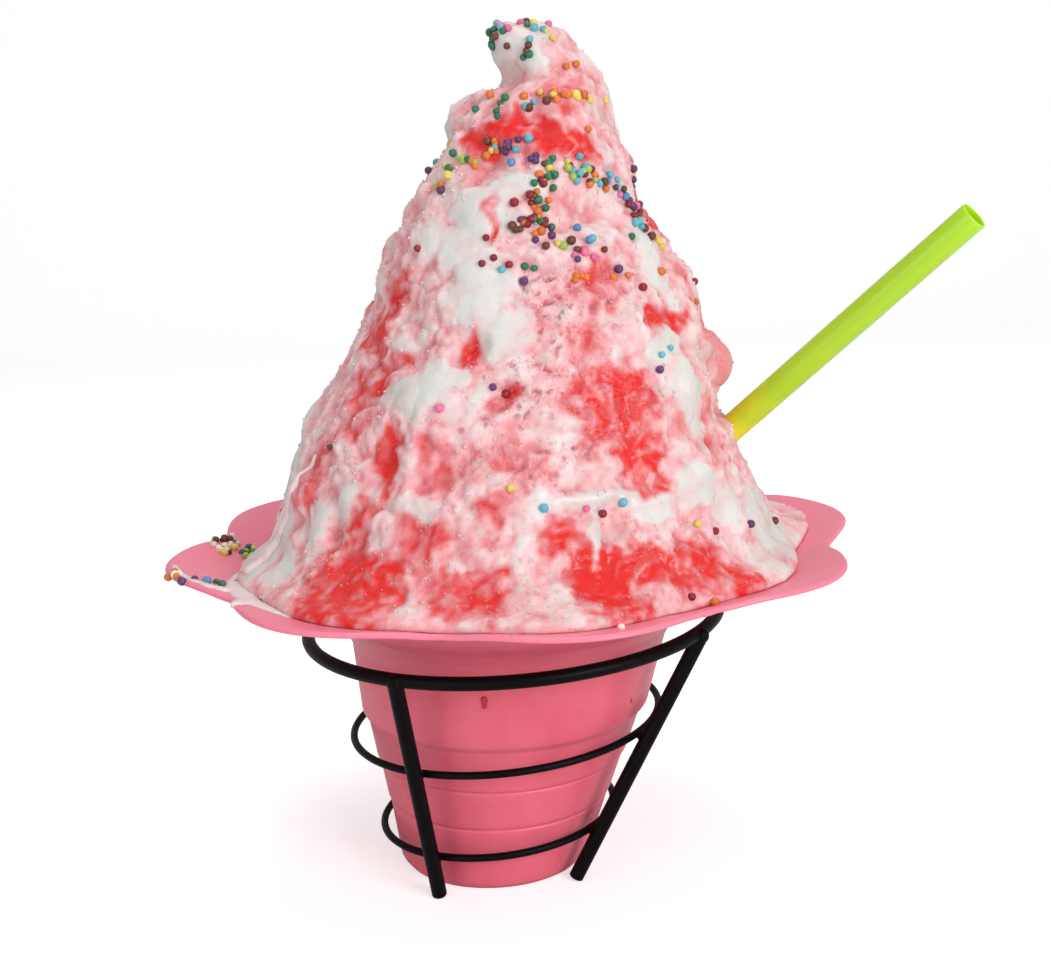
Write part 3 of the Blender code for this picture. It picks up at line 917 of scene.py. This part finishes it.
def drop_on(tree, angle, height):
    """Where something at this angle and height sits on the ice, and the way it faces."""
    turn = math.radians(angle)
    outwards = Vector((math.cos(turn), math.sin(turn), 0))
    middle = Vector((RIM.x + float(mound_middle(height)) * MM, 0, RIM.z + height * MM))
    return tree.ray_cast(middle + outwards * 0.12, -outwards)[:2]


def drop_down(tree, angle, radius):
    """Where something falls on the petals, at a distance from the rim's middle."""
    turn = math.radians(angle)
    above = RIM + Vector((radius * math.cos(turn), radius * math.sin(turn), 40)) * MM
    return tree.ray_cast(above, Vector((0, 0, -1)))[:2]


def add_ball(builder, layer, draw, spot, colour):
    place, facing = spot
    if place is None:
        return
    radius = SPRINKLE_RADIUS * draw.uniform(0.8, 1.15)
    centre = place + facing * radius * draw.uniform(0.25, 0.6)
    centre.z = min(centre.z, CAD_BOX[1][2] - radius)
    centre.x = max(centre.x, CAD_BOX[0][0] + radius)
    made = bmesh.ops.create_icosphere(builder, subdivisions=2, radius=radius,
                                      matrix=Matrix.Translation(centre))
    shade = draw.uniform(0.85, 1.1)
    for vertex in made["verts"]:
        vertex[layer] = (*(min(1, part * shade) for part in SPRINKLE_COLOURS[colour]), 1)


def make_sprinkles(ice, petals):
    draw = random.Random(3)
    builder = bmesh.new()
    layer = builder.verts.layers.float_color.new("tint")
    for angle, height, across, up, number, colours in SPRINKLES:
        reach = max(9, 62 - height * 0.44)
        for _ in range(number):
            level = min(height + draw.gauss(0, up * 0.6), 120.5)
            turn = angle + math.degrees(draw.gauss(0, across * 0.6) / reach)
            add_ball(builder, layer, draw, drop_on(ice, turn, level), draw.choice(colours.split()))
    for angle, height, colour in LONE_SPRINKLES:
        add_ball(builder, layer, draw, drop_on(ice, angle, height), colour)
    for angle, radius, spread, number, colours in PETAL_SPRINKLES:
        for _ in range(number):
            turn = angle + math.degrees(draw.gauss(0, spread * 1.3) / radius)
            away = radius + draw.gauss(0, spread * 0.6)
            add_ball(builder, layer, draw, drop_down(petals, turn, away), draw.choice(colours.split()))
    mesh = bpy.data.meshes.new("sprinkles")
    builder.to_mesh(mesh)
    builder.free()
    settle(new_object("sprinkles", mesh, sprinkle_material()), "ice")


# ---------------------------------------------------------------- milk and syrup

MILK_RUNS = (                           # down the ice: angle, height, half the width
    ((-151, 27, 0.9), (-154, 19, 1.5), (-157, 11, 1.9), (-159, 5, 2.3), (-160, 1, 2.4)),
    ((-164, 20, 0.9), (-166, 10, 1.6), (-168, 3, 2.0)),
    ((60, 52, 1.6), (64, 40, 1.5), (62, 30, 1.3), (66, 22, 1.2)),
    ((120, 26, 1.5), (124, 16, 1.6), (122, 7, 1.9), (123, 1, 2.0)),
)
MILK_POOLS = (                          # over the petals: angle, distance from the middle, half width
    ((-160, 60, 3.4), (-156, 65, 3.2), (-152, 70, 2.6), (-154, 75, 1.7), (-159, 77.8, 1.5), (-164, 79.8, 1.3),
     (-169, 80.6, 1.0)),
    ((-176, 63, 1.8), (-169, 65, 2.8), (-161, 67, 3.2), (-154, 69, 3.4), (-147, 70, 3.4), (-141, 71, 2.8),
     (-135, 71, 1.8), (-130, 70, 1.2)),
    ((-150, 68, 3.0), (-145, 71, 2.6), (-142.5, 74, 2.0), (-141, 76.5, 1.3)),
    ((178, 72, 0.9), (175, 75, 0.8), (172, 77, 0.7)),
    ((123, 62, 2.0), (124, 67, 1.8), (121, 71, 1.5)),
)
SYRUP_DROPS = ((-98, 53, 1.5), (-36, 46, 0.8), (-140, 30, 0.7), (70, 50, 1.2))   # on the cup's wall


def run_of_drops(tree, drop, path, flat):
    """Flattened balls close together along a path over a surface, to be melted into one run."""
    balls = []
    for (angle, level, half), (next_angle, next_level, next_half) in zip(path, path[1:]):
        steps = 14
        for i in range(steps + 1):
            share = i / steps
            wobble = 0.5 * noise.noise(Vector((angle, level, share * 3)))
            spot = drop(tree, angle + (next_angle - angle) * share + wobble,
                        level + (next_level - level) * share)
            if spot[0] is not None:
                size = (half + (next_half - half) * share) * (1 + 0.3 * wobble) * MM
                balls.append((spot[0], size, spot[1], flat))
    return balls


def melt_together(name, balls, voxel, material, slot):
    builder = bmesh.new()
    for place, size, facing, flat in balls:
        turned = facing.to_track_quat("Z", "Y").to_matrix().to_4x4()
        squashed = Matrix.Translation(place) @ turned @ Matrix.Diagonal((1, 1, flat, 1))
        bmesh.ops.create_icosphere(builder, subdivisions=2, radius=size, matrix=squashed)
    rough = bpy.data.meshes.new(name)
    builder.to_mesh(rough)
    builder.free()
    work = collection_link(bpy.data.objects.new("work", rough))
    remesh = work.modifiers.new("remesh", "REMESH")
    remesh.mode = "VOXEL"
    remesh.voxel_size = voxel
    relax = work.modifiers.new("relax", "SMOOTH")
    relax.factor = 0.5
    relax.iterations = 6
    mesh = bpy.data.meshes.new_from_object(work.evaluated_get(bpy.context.evaluated_depsgraph_get()))
    bpy.data.objects.remove(work)
    settle(new_object(name, mesh, material), slot)


def make_milk(ice, petals):
    balls = []
    for path in MILK_RUNS:
        balls += run_of_drops(ice, drop_on, path, 0.5)
    for path in MILK_POOLS:
        balls += run_of_drops(petals, drop_down, path, 0.3)
    voxel = 0.4 * MM
    melt_together("milk_runs", balls, voxel, milk_material(), "ice")


def make_syrup_drops(cup):
    balls = []
    for angle, height, size in SYRUP_DROPS:
        turn = math.radians(angle)
        outwards = Vector((math.cos(turn), math.sin(turn), 0))
        middle = Vector((RIM.x * height / (RIM.z / MM), 0, height * MM))
        place, facing, _, _ = cup.ray_cast(middle + outwards * 0.042, -outwards)
        for i in range(4):
            share = i / 3
            balls.append((place - Vector((0, 0, 1.2 * size * share * MM)),
                          size * (1 - 0.35 * share) * 0.6 * MM, facing, 0.6))
    melt_together("syrup_drops", balls, 0.25 * MM, syrup_material(), "cup")


def make_grains(snow, colours, covered):
    """Loose crystals of ice scattered over the packed snow, fewest where it is wet."""
    draw = np.random.default_rng(8)
    places = coordinates(snow.data)
    facing = normals(snow.data)
    height = (places[:, 2] - RIM.z) / MM
    weight = smooth_step(-0.2, 0.2, facing[:, 2]) * smooth_step(-4, 2, height) * (1 - 0.95 * covered)
    weight *= smooth_step(119, 112, height)
    number = 3000
    chosen = draw.choice(len(places), number, replace=False, p=weight / weight.sum())
    template = bmesh.new()
    bmesh.ops.create_icosphere(template, subdivisions=1, radius=1.0)
    corners = np.array([vertex.co for vertex in template.verts])
    faces = np.array([[vertex.index for vertex in face.verts] for face in template.faces])
    template.free()
    count = len(corners)
    points = np.empty((number, count, 3))
    tints = np.empty((number, count, 3))
    for row, index in enumerate(chosen):
        size = draw.uniform(0.2, 0.42) * MM * draw.uniform(0.7, 1.3, 3)
        turn = np.linalg.qr(draw.normal(size=(3, 3)))[0]
        turn = turn * np.sign(np.linalg.det(turn))
        lumpy = corners * draw.uniform(0.75, 1.2, (count, 1))
        points[row] = (lumpy * size) @ turn.T + places[index] + facing[index] * size.mean() * 0.25
        tints[row] = colours[index] * 0.82 + 0.18 * np.array(ICE_RAMP[0][1])
    mesh = bpy.data.meshes.new("grains")
    every = (faces[None] + (np.arange(number) * count)[:, None, None]).reshape(-1, 3)
    mesh.from_pydata(points.reshape(-1, 3).tolist(), [], every.tolist())
    paint(mesh, "tint", tints.reshape(-1, 3))
    loose = new_object("loose_grains", mesh, crystal_material(), False)
    settle(loose, "ice")


# ---------------------------------------------------------------- stage

def make_stage():
    """A white floor that sweeps up behind; it glows a little for the camera alone."""
    material, nodes, links, shader = new_material("white_floor")
    shader.inputs["Base Color"].default_value = (0.80, 0.80, 0.81, 1)
    shader.inputs["Roughness"].default_value = 0.8
    shader.inputs["Emission Color"].default_value = (1, 1, 1, 1)
    path = nodes.new("ShaderNodeLightPath")
    glow = maths(nodes, links, "MULTIPLY", path.outputs["Is Camera Ray"], 0.55)
    links.new(glow, shader.inputs["Emission Strength"])
    builder = bmesh.new()
    half = 1.6
    sweep = [(-1.4, 0.0)] + [(1.0 + 0.5 * math.sin(t), 0.5 - 0.5 * math.cos(t))
                             for t in (math.pi / 2 * i / 16 for i in range(17))] + [(1.5, 2.4)]
    rows = [(builder.verts.new((-half, y, z)), builder.verts.new((half, y, z))) for y, z in sweep]
    for low, high in zip(rows, rows[1:]):
        builder.faces.new((low[0], low[1], high[1], high[0]))
    mesh = bpy.data.meshes.new("backdrop")
    builder.to_mesh(mesh)
    builder.free()
    new_object("backdrop", mesh, material)


def make_light(name, place, size, watts):
    lamp = bpy.data.lights.new(name, "AREA")
    lamp.energy = watts
    lamp.size = size
    thing = collection_link(bpy.data.objects.new(name, lamp))
    thing.location = place
    thing.rotation_euler = (Vector((0, 0, 0.1)) - thing.location).to_track_quat("-Z", "Y").to_euler()


def make_lights():
    world = bpy.data.worlds.new("studio")
    world.use_nodes = True
    world.node_tree.nodes["Background"].inputs["Color"].default_value = (1, 1, 1, 1)
    world.node_tree.nodes["Background"].inputs["Strength"].default_value = 0.42
    bpy.context.scene.world = world
    make_light("key", (0.55, -0.74, 0.42), 0.45, 5.5)
    make_light("fill", (-0.65, -0.75, 0.25), 0.8, 2.5)
    make_light("top", (0.0, 0.2, 0.9), 0.5, 2.5)
    bpy.context.scene.view_settings.view_transform = "Standard"


# ---------------------------------------------------------------- camera

CAMERA_PLACE = Vector((11.1, -363.7, 172.4)) * MM
CAMERA_DOWN = math.radians(12.13)
CAMERA_ROLL = math.radians(-2.17)
CAMERA_LENS = 53.0                      # millimetres, on a sensor 36 wide


def make_camera():
    lens = bpy.data.cameras.new("camera")
    lens.lens = CAMERA_LENS
    lens.sensor_width = 36
    lens.sensor_fit = "HORIZONTAL"
    lens.clip_start = 0.01
    camera = collection_link(bpy.data.objects.new("camera", lens))
    aim = Matrix.Rotation(math.pi / 2 - CAMERA_DOWN, 4, "X")
    roll = Matrix.Rotation(CAMERA_ROLL, 4, "Z")
    camera.matrix_world = Matrix.Translation(CAMERA_PLACE) @ aim @ roll
    bpy.context.scene.camera = camera


# ---------------------------------------------------------------- all of it

snow, snow_colours, snow_covered = make_snow()
cup = make_cup()
graph = bpy.context.evaluated_depsgraph_get()
snow_tree = BVHTree.FromObject(snow, graph)
cup_tree = BVHTree.FromObject(cup, graph)
make_core()
make_grains(snow, snow_colours, snow_covered)
make_sprinkles(snow_tree, cup_tree)
make_milk(snow_tree, cup_tree)
make_syrup_drops(cup_tree)
make_straw()
make_holder()
make_stage()
make_lights()
make_camera()
